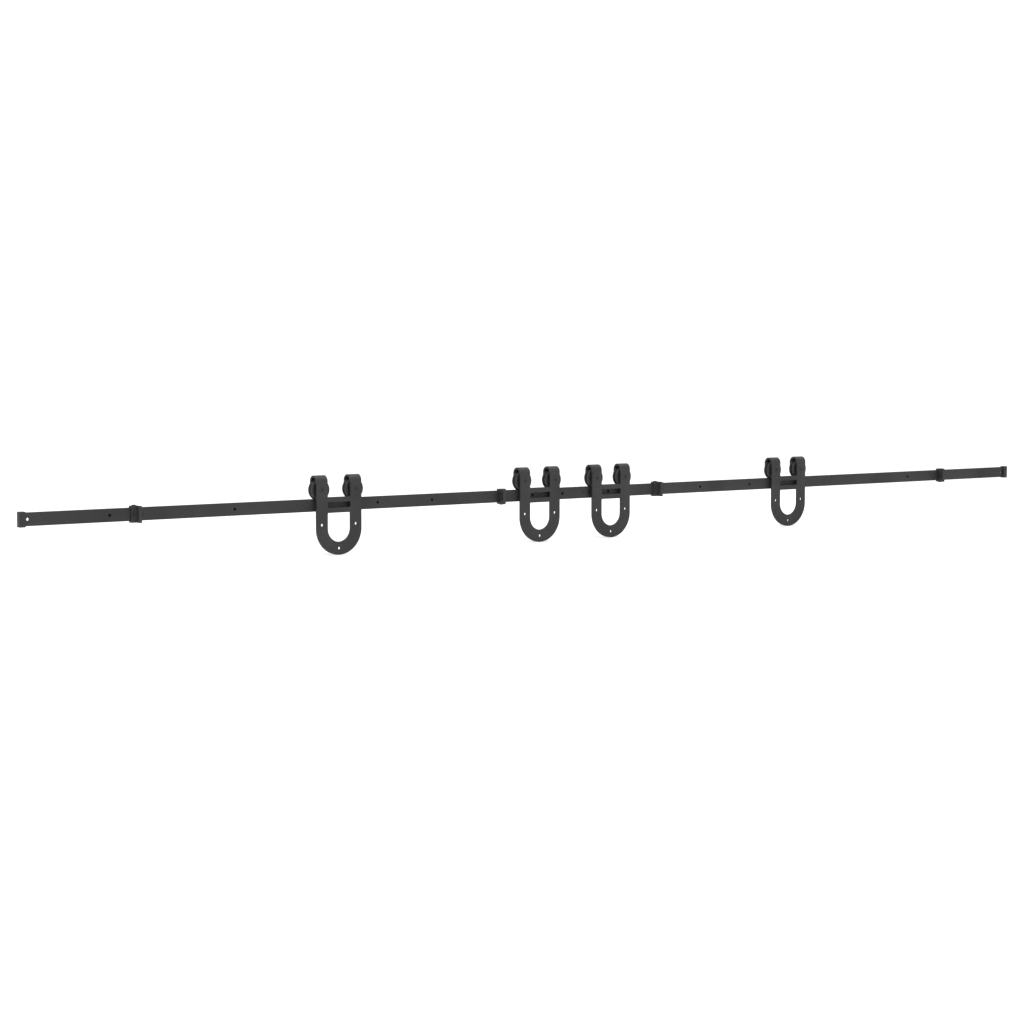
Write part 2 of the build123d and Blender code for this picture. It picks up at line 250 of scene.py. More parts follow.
def joined(name, parts):
    """Several loose parts as one piece, such as a set of alike bolts."""
    bpy.ops.object.select_all(action="DESELECT")
    for part in parts:
        part.select_set(True)
    bpy.context.view_layer.objects.active = parts[0]
    bpy.ops.object.join()
    piece = bpy.context.object
    piece.name = piece.data.name = name
    return piece


made = []


def place(piece, body, node, slot, *materials):
    """Give a finished piece its materials and hang it on the frame in a node's stead."""
    piece.data.materials.clear()
    for material in materials:
        piece.data.materials.append(material)
    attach(piece, body)
    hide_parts(node)
    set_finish(piece, slot)
    made.append(piece)
    return piece

# %% [markdown]
# ## The camera
# The hardware is seen from its left end, from a little above, with a long lens, so the far end
# of the track looks about three quarters as tall as the near end. The camera looks down by four
# degrees and doesn't lean to either side, so upright edges stay nearly upright in the picture.

# %% Aim the camera
HEADING, TILT = radians(36.752), radians(4.146)
LENS = 79.336
CAMERA_AT = (-4.5912, -5.7535, 0.4651)
ahead = Vector((sin(HEADING) * cos(TILT), cos(HEADING) * cos(TILT), -sin(TILT)))
across = Vector((cos(HEADING), -sin(HEADING), 0))
up = across.cross(ahead)
camera = bpy.data.objects.new("camera", bpy.data.cameras.new("camera"))
bpy.context.scene.collection.objects.link(camera)
camera.data.lens = LENS
camera.matrix_world = Matrix.Translation(CAMERA_AT) @ (
    Matrix((across, up, -ahead)).transposed().to_4x4())
bpy.context.scene.camera = camera
print("camera looks along", tuple(round(v, 3) for v in ahead))

# %% [markdown]
# ## The hanger strap
# On the real hanger a thick flat bar is bent hot into a horseshoe, and both its ends are folded
# back over the wheels. One could cut this outline from a plate, but the fold can't be cut, so
# it is made the way a smith does it: a straight arm, a spin for the round bottom, the other arm
# drawn up, and a second spin at right angles for the folds.

# %% Bend the strap
BEND_OUTER, BEND_INNER = 79 * MM, 40 * MM
ARM_X = (BEND_OUTER + BEND_INNER) / 2
PLATE_BACK = PLATE_FRONT + STRAP_THICK
AXLE_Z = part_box("wheel_1_left")[0].z / 2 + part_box("wheel_1_left")[1].z / 2
LEG_END = AXLE_Z - STRAP_WIDTH / 2
BEND_STEPS, FOLD_STEPS = 48, 18
LEG_CORNER = STRAP_WIDTH / 2 - 0.1 * MM  # almost a half circle, so that the corners don't meet

start_bar("strap", (-BEND_OUTER, PLATE_FRONT, BEND_Z), (-BEND_INNER, PLATE_BACK, FOLD_Z))
pick("FACE", lambda at, way: way.z < -SQUARE)
bpy.ops.mesh.spin(steps=BEND_STEPS, angle=pi, center=(0, 0, BEND_Z), axis=(0, 1, 0))
push(z=FOLD_Z - BEND_Z)
pick("FACE", lambda at, way: way.z > SQUARE and near(at.z, FOLD_Z))
bpy.ops.mesh.spin(steps=FOLD_STEPS, angle=pi, center=(0, RAIL_Y, FOLD_Z), axis=(1, 0, 0))
push(z=LEG_END - FOLD_Z)
corners = pick("EDGE", lambda at, way: abs(way.y) > SQUARE and near(at.z, LEG_END))
bpy.ops.mesh.bevel(offset=LEG_CORNER, segments=14, affect="EDGES")
strap = leave()
print("strap", in_mm(strap.dimensions), "mm,", corners, "leg corners rounded")

# %% [markdown]
# The slotted web ties the two arms together in front of the track. Four cuts right across
# mark its height and its slot on both arms, and then the facing inner faces are bridged.

# %% Bridge the web between the arms
WEB_CORNER = 2.5 * MM
bpy.ops.object.mode_set(mode="EDIT")
for height in (-WEB_HIGH, -WEB_LOW, WEB_LOW, WEB_HIGH):
    slice_at((0, 0, height), (0, 0, 1))
for side in (-1, 1):
    faces = pick("FACE", lambda at, way: abs(way.x) > SQUARE and near(abs(at.x), BEND_INNER)
                 and WEB_LOW < side * at.z < WEB_HIGH)
    bpy.ops.mesh.bridge_edge_loops()
corners = pick("EDGE", lambda at, way: abs(way.y) > SQUARE and near(abs(at.x), BEND_INNER)
               and (near(abs(at.z), WEB_LOW) or near(abs(at.z), WEB_HIGH)))
bpy.ops.mesh.bevel(offset=WEB_CORNER, segments=5, affect="EDGES")
strap = leave()
print("web bridged from", faces, "faces a band,", corners, "corners rounded")

# %% [markdown]
# Each arm has an axle hole that goes on through the folded leg, with a countersink in front so
# that the bolt's head lies flush, and a hole for a door bolt. A third door bolt goes through
# the bottom of the bend.

# %% Drill the strap
AXLE_R = 5 * MM
AXLE_HEAD_R, AXLE_HEAD_DEPTH = 10 * MM, 5 * MM
SLIP = 0.05 * MM
ARM_HOLE_Z = -59 * MM
EDGE_BREAK = 0.6 * MM
through = 20 * MM
cutters = [drill(HOLE_R, through, Vector((0, PLATE_FRONT, BEND_Z - ARM_X)))]
for x in (-ARM_X, ARM_X):
    cutters.append(drill(HOLE_R, through, Vector((x, PLATE_FRONT, ARM_HOLE_Z))))
    cutters.append(drill(AXLE_R + SLIP, 4 * through, Vector((x, RAIL_Y, AXLE_Z))))
    cutters.append(countersink(AXLE_HEAD_R + SLIP, AXLE_R + SLIP, AXLE_HEAD_DEPTH,
                               Vector((x, PLATE_FRONT, AXLE_Z))))
boolean(strap, cutters)
ease(strap, EDGE_BREAK)
print("strap has", len(strap.data.polygons), "faces")

# %% [markdown]
# ## The axle bolt and its lock nut
# The axle is a flat-headed bolt with a hexagon socket. It starts as a plain bar: its front ring
# of points is spread to make the cone of the head, and the tail gets shallow rings where its
# thread shows past the nut.

# %% Turn the axle bolt
NUT_FLATS, NUT_THICK = 17 * MM, 7 * MM
NUT_COLLAR_R, NUT_COLLAR_THICK = 7.2 * MM, 2.5 * MM
AXLE_TAIL = 2 * MM
SOCKET_DEPTH, SOCKET_SHARE = 2.2 * MM, 1.33
THREAD_PITCH, THREAD_ROOT, THREAD_RINGS = 0.75 * MM, 0.9, 5
SCREW_BREAK = 0.15 * MM
axle_at = Vector((0, RAIL_Y, AXLE_Z))
axle_end = LEG_BACK + NUT_THICK + NUT_COLLAR_THICK + AXLE_TAIL


def socket(flats, place, axis="Y"):
    """A six-sided cutter for a hexagon key, sunk into a face at a place."""
    start_round("socket", flats / 2 / cos(pi / 6), 2 * SOCKET_DEPTH, place, axis, sides=6)
    return leave()


def axle_bolt():
    length = axle_end - PLATE_FRONT
    middle = Vector((0, PLATE_FRONT + length / 2, AXLE_Z))
    start_round("axle bolt", AXLE_R, length, middle, sides=48)
    slice_at((0, PLATE_FRONT + AXLE_HEAD_DEPTH, 0), (0, 1, 0))
    pick("VERT", lambda at, _: near(at.y, PLATE_FRONT))
    spread = AXLE_HEAD_R / AXLE_R
    bpy.ops.transform.resize(value=(spread, 1, spread), center_override=middle)
    for turn in range(THREAD_RINGS):
        slice_at((0, axle_end - (turn + 1) * THREAD_PITCH / 2, 0), (0, 1, 0))
    for turn in range(0, THREAD_RINGS, 2):
        ring = axle_end - turn * THREAD_PITCH / 2
        pick("VERT", lambda at, _: near(at.y, ring, 0.01 * MM))
        bpy.ops.transform.resize(value=(THREAD_ROOT, 1, THREAD_ROOT), center_override=middle)
    bolt = boolean(leave(), [socket(AXLE_R * SOCKET_SHARE, Vector((0, PLATE_FRONT, AXLE_Z)))])
    return ease(bolt, SCREW_BREAK, segments=1, angle=50)


bolt = axle_bolt()
print("axle bolt", in_mm(bolt.dimensions), "mm")

# %% [markdown]
# A lock nut's corners are turned off in a lathe before the hexagon shows, which leaves the curved
# lines round its faces. The same is done here: the hexagon is kept only where it overlaps a
# round body with a sloping rim. The round collar behind it holds the nylon ring.

# %% Make the lock nut
NUT_LATHE_CUT, NUT_COLLAR_ROUND = 0.9 * MM, 0.8 * MM


def lock_nut():
    middle = Vector((0, LEG_BACK + NUT_THICK / 2, AXLE_Z))
    corner_r = NUT_FLATS / 2 / cos(pi / 6)
    start_round("lock nut", corner_r, NUT_THICK, middle, sides=6)
    nut = leave()
    start_round("lathe", corner_r, NUT_THICK, middle)
    pick("EDGE", lambda at, way: abs(way.y) < ACROSS)
    bpy.ops.mesh.bevel(offset=NUT_LATHE_CUT, segments=1, affect="EDGES")
    boolean(nut, [leave()], "INTERSECT")
    base = LEG_BACK + NUT_THICK
    start_round("collar", NUT_COLLAR_R, 2 * NUT_COLLAR_THICK, Vector((0, base, AXLE_Z)))
    pick("EDGE", lambda at, way: abs(way.y) < ACROSS and at.y > base)
    bpy.ops.mesh.bevel(offset=NUT_COLLAR_ROUND, segments=3, affect="EDGES")
    boolean(nut, [leave()], "UNION")
    boolean(nut, [drill(AXLE_R + SLIP, 2 * through, middle)])
    return ease(nut, 0.2 * MM)


nut = lock_nut()
print("lock nut", in_mm(nut.dimensions), "mm")

# %% [markdown]
# ## The grooved wheel
# Each wheel is turned from bar: a groove with sloping walls that straddles the track, a shallow
# dish in each face, and a bore for the bearing that stops at a lip. A lathe shape can be spun
# from a profile, but here a drum is cut and squeezed ring by ring, which keeps each size plain.

# %% Turn the wheel
WHEEL_R, WHEEL_WIDTH = 32 * MM, 20 * MM
GROOVE_R, GROOVE_WIDTH, GROOVE_MOUTH = 26.5 * MM, 8 * MM, 10 * MM
DISH_INNER, DISH_OUTER, DISH_DEPTH = 16 * MM, 23 * MM, 2 * MM
WHEEL_CORNER = 1.8 * MM
BEARING_R, BEARING_WIDTH, LIP_R = 13 * MM, 8 * MM, 11 * MM


def grooved_wheel():
    start_round("wheel", WHEEL_R, WHEEL_WIDTH, axle_at, sides=96)
    for reach in (-GROOVE_MOUTH / 2, -GROOVE_WIDTH / 2, GROOVE_WIDTH / 2, GROOVE_MOUTH / 2):
        slice_at((0, RAIL_Y + reach, 0), (0, 1, 0))
    pick("VERT", lambda at, _: near(abs(at.y - RAIL_Y), GROOVE_WIDTH / 2))
    share = GROOVE_R / WHEEL_R
    bpy.ops.transform.resize(value=(share, 1, share), center_override=axle_at)
    for side in (-1, 1):
        pick("FACE", lambda at, way: near(side * (at.y - RAIL_Y), WHEEL_WIDTH / 2))
        bpy.ops.mesh.inset(thickness=WHEEL_R - DISH_OUTER)
        push(y=-side * DISH_DEPTH)
        bpy.ops.mesh.inset(thickness=DISH_OUTER - DISH_INNER)
        push(y=side * DISH_DEPTH)
    pick("EDGE", lambda at, way: near(abs(at.y - RAIL_Y), WHEEL_WIDTH / 2)
         and Vector((at.x, at.z - AXLE_Z)).length > WHEEL_R - MM)
    bpy.ops.mesh.bevel(offset=WHEEL_CORNER, segments=3, affect="EDGES")
    wheel = leave()
    back = RAIL_Y + WHEEL_WIDTH
    front = RAIL_Y - BEARING_WIDTH / 2 - SLIP
    seat = drill(BEARING_R + SLIP, back - front, Vector((0, (back + front) / 2, AXLE_Z)))
    boolean(wheel, [seat, drill(LIP_R, 2 * WHEEL_WIDTH, axle_at)])
    return ease(wheel, 0.35 * MM)


wheel = grooved_wheel()
from_axle = wheel.data.attributes.new("from_axle", "FLOAT", "POINT")
reaches = [Vector((point.co.x, point.co.z - AXLE_Z)).length for point in wheel.data.vertices]
from_axle.data.foreach_set("value", reaches)
print("wheel", in_mm(wheel.dimensions), "mm,", len(wheel.data.polygons), "faces")

# %% [markdown]
# ## The track
# The two rails are plain flat bars with eased long edges. They are cut to length, drilled for
# the wall bolts, and countersunk where the splice plate behind the joint is screwed on.

# %% Cut and drill the rails
RAIL_LENGTH = 2.0
RAIL_FRONT, RAIL_BACK = RAIL_Y - RAIL_THICK / 2, RAIL_Y + RAIL_THICK / 2
WALL_HOLES_X = [x * MM for x in (-1730, -1330, -835, -635, -245, -125, 65, 465, 690, 1470)]
END_HOLE_X = 1976 * MM
SPLICE_SCREWS_X = [x * MM for x in (-38, -15, 15, 38)]
SPLICE_SCREW_R, SPLICE_HEAD_R, SPLICE_HEAD_DEPTH = 3 * MM, 6 * MM, 3 * MM


def flat_bar(name, side):
    left, right = sorted((0, side * RAIL_LENGTH))
    low = (left, RAIL_FRONT, -RAIL_HEIGHT / 2)
    start_bar(f"flat_bar_{name}", low, (right, RAIL_BACK, RAIL_HEIGHT / 2))
    pick("EDGE", lambda at, way: abs(way.x) > SQUARE)
    bpy.ops.mesh.bevel(offset=RAIL_EDGE, segments=3, affect="EDGES")
    bar = leave()
    cutters = []
    for x in [x for x in WALL_HOLES_X if x * side > 0] + [side * END_HOLE_X]:
        cutters.append(drill(HOLE_R, through, Vector((x, RAIL_Y, 0))))
    for x in [x for x in SPLICE_SCREWS_X if x * side > 0]:
        cutters.append(drill(SPLICE_SCREW_R + SLIP, through, Vector((x, RAIL_Y, 0))))
        cutters.append(countersink(SPLICE_HEAD_R + SLIP, SPLICE_SCREW_R + SLIP, SPLICE_HEAD_DEPTH,
                                   Vector((x, RAIL_FRONT, 0))))
    boolean(bar, cutters)
    return ease(bar, 0.25 * MM, segments=1, angle=50)


rails = {name: flat_bar(name, side) for name, side in zip(SIDES, (-1, 1))}
print("rails", {name: len(bar.data.polygons) for name, bar in rails.items()}, "faces")

# %% [markdown]
# Behind the track stand turned spacers, one at each wall hole, and the splice plate. The
# splice screws are small copies of the axle bolt's idea: a bar whose front ring is spread.

# %% Turn the spacers and make the splice
SPACER_R, SPACER_CHAMFER = 11 * MM, 0.8 * MM
SPLICE_HALF_LENGTH, SPLICE_THICK, SPLICE_HALF_HEIGHT = 50 * MM, 5 * MM, 11 * MM


def spacer():
    middle = Vector((0, RAIL_BACK / 2, 0))
    start_round("spacer", SPACER_R, -RAIL_BACK, middle)
    pick("EDGE", lambda at, way: abs(way.y) < ACROSS)
    bpy.ops.mesh.bevel(offset=SPACER_CHAMFER, segments=1, affect="EDGES")
    return ease(boolean(leave(), [drill(HOLE_R, 3 * through, middle)]), 0.2 * MM, segments=1)


def splice_plate():
    low = (-SPLICE_HALF_LENGTH, RAIL_BACK, -SPLICE_HALF_HEIGHT)
    start_bar("splice", low, (SPLICE_HALF_LENGTH, RAIL_BACK + SPLICE_THICK, SPLICE_HALF_HEIGHT))
    pick("EDGE", lambda at, way: abs(way.y) > SQUARE)
    bpy.ops.mesh.bevel(offset=SPACER_CHAMFER, segments=2, affect="EDGES")
    plate = leave()
    holes = [drill(SPLICE_SCREW_R + SLIP, through, Vector((x, RAIL_BACK, 0))) for x in SPLICE_SCREWS_X]
    return ease(boolean(plate, holes), 0.3 * MM)


def splice_screw():
    end = RAIL_BACK + SPLICE_THICK
    middle = Vector((0, (RAIL_FRONT + end) / 2, 0))
    start_round("splice screw", SPLICE_SCREW_R, end - RAIL_FRONT, middle, sides=32)
    slice_at((0, RAIL_FRONT + SPLICE_HEAD_DEPTH, 0), (0, 1, 0))
    pick("VERT", lambda at, _: near(at.y, RAIL_FRONT))
    bpy.ops.transform.resize(value=(2, 1, 2), center_override=middle)
    screw = boolean(leave(), [socket(SPLICE_SCREW_R * SOCKET_SHARE, Vector((0, RAIL_FRONT, 0)))])
    return ease(screw, SCREW_BREAK, segments=1, angle=50)


one_spacer, splice, one_splice_screw = spacer(), splice_plate(), splice_screw()
print("spacer, splice plate and screw:",
      [in_mm(piece.dimensions) for piece in (one_spacer, splice, one_splice_screw)])

# %% [markdown]
# The end caps are moulded sleeves pushed over the rail's ends. A block is rounded all over, the
# rail's own section is cut out of it, and a grub screw from behind holds it.

# %% Mould the end cap
CAP_LENGTH, CAP_DEPTH, CAP_HEIGHT, CAP_WALL, CAP_ROUND = 18 * MM, 18 * MM, 43 * MM, 3 * MM, 1 * MM
CAP_SCREW_R = 2 * MM
EASE = 0.15 * MM
cap_end = RAIL_LENGTH + CAP_WALL
cap_middle_x = cap_end - CAP_LENGTH / 2


def box_tool(low, high):
    """A square cutting tool between two corners."""
    start_bar("mill", low, high)
    return leave()


def end_cap():
    low = (cap_end - CAP_LENGTH, RAIL_Y - CAP_DEPTH / 2, -CAP_HEIGHT / 2)
    start_bar("cap", low, (cap_end, RAIL_Y + CAP_DEPTH / 2, CAP_HEIGHT / 2))
    bpy.ops.mesh.bevel(offset=CAP_ROUND, segments=4, affect="EDGES")
    cap = leave()
    half = RAIL_HEIGHT / 2 + EASE
    pocket = box_tool((low[0] - MM, RAIL_FRONT - EASE, -half),
                      (RAIL_LENGTH + EASE, RAIL_BACK + EASE, half))
    hole = drill(CAP_SCREW_R + SLIP, CAP_DEPTH, Vector((cap_middle_x, RAIL_BACK + CAP_DEPTH / 2, 0)))
    return boolean(cap, [pocket, hole])


def cap_screw():
    """Set screw in the back of the cap, short of its mouth."""
    back = RAIL_Y + CAP_DEPTH / 2
    middle = Vector((cap_middle_x, (RAIL_BACK + back) / 2, 0))
    start_round("cap screw", CAP_SCREW_R, back - RAIL_BACK - 2 * SLIP, middle, sides=32)
    screw = boolean(leave(), [socket(CAP_SCREW_R, Vector((cap_middle_x, back, 0)))])
    return ease(screw, 0.12 * MM, segments=1, angle=50)


cap, one_cap_screw = ease(end_cap(), 0.25 * MM), cap_screw()
print("end cap", in_mm(cap.dimensions), "mm")

# %% [markdown]
# ## The stops
# A stop is a sleeve round the rail, open at the back so that it slides past the spacers, with a
# flange towards the room that carries a rubber buffer at the height of the hanger straps. The
# flange is drawn out of the sleeve's front face, so the two are one body.

# %% Shape the stop's sleeve
STOP_LOW, STOP_HIGH, STOP_FLANGE, STOP_REACH = -14.5 * MM, 9.5 * MM, 9 * MM, 18 * MM
STOP_HALF_HEIGHT, STOP_FRONT, STOP_BACK = 24 * MM, -50 * MM, -33 * MM
STOP_BACK_GAP, STOP_ROUND = 12 * MM, 0.8 * MM
STOP_SCREW_R = 3 * MM
STOP_GRUB_X, STOP_BUTTON_X = -7 * MM, -2.5 * MM
GRUB_RECESS = 0.3 * MM
BUTTON_R, BUTTON_DEPTH, BUTTON_ROUND = 6.5 * MM, 2.5 * MM, 1.8 * MM
BUMPER_R, BUMPER_LENGTH, BUMPER_ROUND = 9 * MM, 5 * MM, 1.5 * MM
BUMPER_Y = (PLATE_FRONT + PLATE_BACK) / 2
STEM_R, STEM_LENGTH = 3 * MM, 6 * MM


def stop_sleeve():
    low = (STOP_LOW, STOP_FRONT, -STOP_HALF_HEIGHT)
    start_bar("stop", low, (STOP_HIGH, STOP_BACK, STOP_HALF_HEIGHT))
    slice_at((STOP_HIGH - STOP_FLANGE, 0, 0), (1, 0, 0))
    pick("FACE", lambda at, way: way.y < -SQUARE and at.x > STOP_HIGH - STOP_FLANGE)
    push(y=-STOP_REACH)
    sleeve = ease(leave(), STOP_ROUND, segments=4)
    half = RAIL_HEIGHT / 2 + EASE
    far = 2 * through
    cutters = [
        box_tool((-far, RAIL_FRONT - EASE, -half), (far, RAIL_BACK + EASE, half)),
        box_tool((-far, RAIL_BACK, -STOP_BACK_GAP), (far, 0, STOP_BACK_GAP)),
        drill(STOP_SCREW_R + SLIP, through, Vector((STOP_GRUB_X, STOP_FRONT, 0))),
        drill(STOP_SCREW_R + SLIP, through, Vector((STOP_BUTTON_X, RAIL_Y, half + through / 2)), "Z"),
        drill(STEM_R + SLIP, 2 * (STEM_LENGTH + SLIP), Vector((STOP_HIGH, BUMPER_Y, 0)), "X")]
    return ease(boolean(sleeve, cutters), 0.3 * MM, segments=2, angle=45)


def stop_buffer():
    """Rubber disc with a rounded front rim and a stem in the flange."""
    middle = Vector((STOP_HIGH + BUMPER_LENGTH / 2, BUMPER_Y, 0))
    start_round("buffer", BUMPER_R, BUMPER_LENGTH, middle, "X")
    pick("EDGE", lambda at, way: abs(way.x) < ACROSS and at.x > middle.x)
    bpy.ops.mesh.bevel(offset=BUMPER_ROUND, segments=5, affect="EDGES")
    pick("FACE", lambda at, way: way.x < -SQUARE)
    bpy.ops.mesh.inset(thickness=BUMPER_R - STEM_R)
    push(x=-STEM_LENGTH)
    return ease(leave(), 0.3 * MM)


def stop_grub():
    back = RAIL_FRONT - SLIP
    front = STOP_FRONT + GRUB_RECESS
    middle = Vector((STOP_GRUB_X, (front + back) / 2, 0))
    start_round("grub screw", STOP_SCREW_R, back - front, middle, sides=32)
    screw = boolean(leave(), [socket(STOP_SCREW_R, Vector((STOP_GRUB_X, STOP_FRONT, 0)))])
    return ease(screw, SCREW_BREAK, segments=1, angle=50)


def stop_button():
    """Domed screw on the sleeve's edge, bearing on the rail."""
    foot, top = RAIL_HEIGHT / 2 + SLIP, STOP_HALF_HEIGHT + BUTTON_DEPTH
    start_round("button", BUTTON_R, BUTTON_DEPTH,
                Vector((STOP_BUTTON_X, RAIL_Y, top - BUTTON_DEPTH / 2)), "Z")
    pick("EDGE", lambda at, way: abs(way.z) < ACROSS and near(at.z, top))
    bpy.ops.mesh.bevel(offset=BUTTON_ROUND, segments=5, affect="EDGES")
    pick("FACE", lambda at, way: way.z < -SQUARE)
    bpy.ops.mesh.inset(thickness=BUTTON_R - STOP_SCREW_R)
    push(z=foot - STOP_HALF_HEIGHT)
    screw = leave()
    key = socket(STOP_SCREW_R * SOCKET_SHARE, Vector((STOP_BUTTON_X, RAIL_Y, top)), "Z")
    return ease(boolean(screw, [key]), SCREW_BREAK, segments=1, angle=50)


sleeve, buffer, grub, button = stop_sleeve(), stop_buffer(), stop_grub(), stop_button()
print("stop sleeve", in_mm(sleeve.dimensions), "mm")

# %% [markdown]
# ## Finishes
# Nearly everything here is steel with a black powder coat, which is matt and very slightly
# pebbled, because the powder melts and never flows quite level. The finishes differ in how
# coarse that pebble is and how bright the coat, so the effect is one node group, built once.

# %% Node groups for the pebble, the worn edges with their painted highlight, and the turning marks
def node_group(name, inputs, outputs):
    """An empty shader group with named float inputs and outputs."""
    group = bpy.data.node_groups.new(name, "ShaderNodeTree")
    kind = "NodeSocketFloat"
    for label, value in inputs.items():
        group.interface.new_socket(label, in_out="INPUT", socket_type=kind).default_value = value
    for label in outputs:
        group.interface.new_socket(label, in_out="OUTPUT", socket_type=kind)
    return group, group.nodes.new("NodeGroupInput"), group.nodes.new("NodeGroupOutput")


def math_node(tree, operation, *values):
    """A Math node whose inputs are numbers or other nodes' outputs."""
    node = tree.nodes.new("ShaderNodeMath")
    node.operation = operation
    for put, value in zip(node.inputs, values):
        if isinstance(value, (int, float)):
            put.default_value = value
        else:
            tree.links.new(value, put)
    return node.outputs[0]


def noise(tree, place, scale, detail=3.0, roughness=0.5):
    """Noise over a place, with a scale that is a number or another node's output."""
    node = tree.nodes.new("ShaderNodeTexNoise")
    tree.links.new(place, node.inputs["Vector"])
    node.inputs["Detail"].default_value = detail
    node.inputs["Roughness"].default_value = roughness
    if isinstance(scale, (int, float)):
        node.inputs["Scale"].default_value = scale
    else:
        tree.links.new(scale, node.inputs["Scale"])
    return node.outputs["Fac"]


def pebble_group():
    """Orange peel of a powder coat: a height for bump, and slow patches for tone."""
    group, taken, given = node_group("powder_pebble", {"Peel per m": 700.0, "Patch per m": 9.0},
                                     ("Height", "Patch"))
    place = group.nodes.new("ShaderNodeTexCoord").outputs["Object"]
    coarse = noise(group, place, taken.outputs["Peel per m"], 2.0)
    fine = noise(group, place, math_node(group, "MULTIPLY", taken.outputs["Peel per m"], 3.7), 2.0)
    height = math_node(group, "MULTIPLY_ADD", fine, 0.35, coarse)
    group.links.new(height, given.inputs["Height"])
    group.links.new(noise(group, place, taken.outputs["Patch per m"], 4.0), given.inputs["Patch"])
    return group


def edge_wear_and_highlight_group():
    """Mask that is 1 on broken edges, which it lightens both for a thinner, worn coat and as a painted
    highlight of the light they catch.
    """
    group, taken, given = node_group("thin_coat_and_highlight_edges", {"Width m": 0.0008, "Break up": 0.5}, ("Mask",))
    # The mask lightens edges for wear and also paints on the highlight that the edges catch.
    soft = group.nodes.new("ShaderNodeBevel")
    soft.samples = 6
    group.links.new(taken.outputs["Width m"], soft.inputs["Radius"])
    hard = group.nodes.new("ShaderNodeNewGeometry")
    dot = group.nodes.new("ShaderNodeVectorMath")
    dot.operation = "DOT_PRODUCT"
    group.links.new(soft.outputs["Normal"], dot.inputs[0])
    group.links.new(hard.outputs["Normal"], dot.inputs[1])
    bend = math_node(group, "SUBTRACT", 1.0, dot.outputs["Value"])
    sharp = math_node(group, "MULTIPLY", bend, 6.0)
    place = group.nodes.new("ShaderNodeTexCoord").outputs["Object"]
    patch = noise(group, place, 160.0, 4.0, 0.6)
    unbroken = math_node(group, "SUBTRACT", 1.0, patch)
    gap = math_node(group, "MULTIPLY", unbroken, taken.outputs["Break up"])
    mask = math_node(group, "SUBTRACT", sharp, gap)
    limit = group.nodes.new("ShaderNodeClamp")
    group.links.new(mask, limit.inputs["Value"])
    group.links.new(limit.outputs[0], given.inputs["Mask"])
    return group


def turning_group():
    """Fine rings round an axle, from the distance to it that each wheel's points carry."""
    group, taken, given = node_group("turning_marks", {"Rings per m": 2600.0}, ("Rings",))
    far = group.nodes.new("ShaderNodeAttribute")
    far.attribute_name = "from_axle"
    place = group.nodes.new("ShaderNodeSeparateXYZ")
    group.links.new(group.nodes.new("ShaderNodeTexCoord").outputs["Object"], place.inputs[0])
    along = math_node(group, "SUBTRACT", far.outputs["Fac"], place.outputs["Y"])
    lines = group.nodes.new("ShaderNodeTexNoise")
    lines.noise_dimensions = "1D"
    lines.inputs["Detail"].default_value = 2.0
    group.links.new(math_node(group, "MULTIPLY", along, taken.outputs["Rings per m"]), lines.inputs["W"])
    group.links.new(lines.outputs["Fac"], given.inputs["Rings"])
    return group


pebble, thin_coat_and_highlight_edges, turning = pebble_group(), edge_wear_and_highlight_group(), turning_group()
print("groups:", [g.name for g in bpy.data.node_groups])

# %% [markdown]
# Each finish is one material. Tones are the share of light that the surface gives back, so a
# black coat is about two hundredths, not zero: a little light always comes off its gloss too.

# %% Build the finishes
def finish(name, dark, light, rough, spread, peel, bump, gloss=0.3, metal=0.0, rings=0.0, edge=0.0):
    """A coat that goes from dark to light in patches and at edges, where the lightening is wear and
    partly a painted highlight, with a pebbled or turned skin.
    """
    material = bpy.data.materials.new(name)
    material.use_nodes = True
    tree = material.node_tree
    shader = tree.nodes["Principled BSDF"]
    shader.inputs["Metallic"].default_value = metal
    shader.inputs["Specular IOR Level"].default_value = gloss

    skin = tree.nodes.new("ShaderNodeGroup")
    skin.node_tree = pebble
    skin.inputs["Peel per m"].default_value = peel
    height, tone = skin.outputs["Height"], skin.outputs["Patch"]
    if rings:
        marks = tree.nodes.new("ShaderNodeGroup")
        marks.node_tree = turning
        height = math_node(tree, "MULTIPLY_ADD", marks.outputs["Rings"], rings, height)
        patches = math_node(tree, "MULTIPLY", tone, 0.6)
        tone = math_node(tree, "MULTIPLY_ADD", marks.outputs["Rings"], 0.4, patches)
    # Broken edges are lightened by the edge amount: a thinner, worn coat there, and partly a painted
    # highlight for the light the edges catch.
    rim = tree.nodes.new("ShaderNodeGroup")
    rim.node_tree = thin_coat_and_highlight_edges
    edge_wear_and_highlight = math_node(tree, "MULTIPLY", rim.outputs["Mask"], edge)

    colour = tree.nodes.new("ShaderNodeValToRGB")
    for stop, position, grey in zip(colour.color_ramp.elements, (0.3, 0.8), (dark, light)):
        stop.position = position
        stop.color = (grey, grey, grey, 1)
    tree.links.new(math_node(tree, "ADD", tone, edge_wear_and_highlight), colour.inputs["Fac"])
    tree.links.new(colour.outputs["Color"], shader.inputs["Base Color"])

    sheen = tree.nodes.new("ShaderNodeMapRange")
    sheen.inputs["From Min"].default_value, sheen.inputs["From Max"].default_value = 0.3, 0.7
    sheen.inputs["To Min"].default_value = rough + spread
    sheen.inputs["To Max"].default_value = rough - spread
    tree.links.new(tone, sheen.inputs["Value"])
    tree.links.new(sheen.outputs["Result"], shader.inputs["Roughness"])

    relief = tree.nodes.new("ShaderNodeBump")
    relief.inputs["Strength"].default_value = bump
    relief.inputs["Distance"].default_value = 0.2 * MM
    tree.links.new(height, relief.inputs["Height"])
    tree.links.new(relief.outputs["Normal"], shader.inputs["Normal"])
    return material
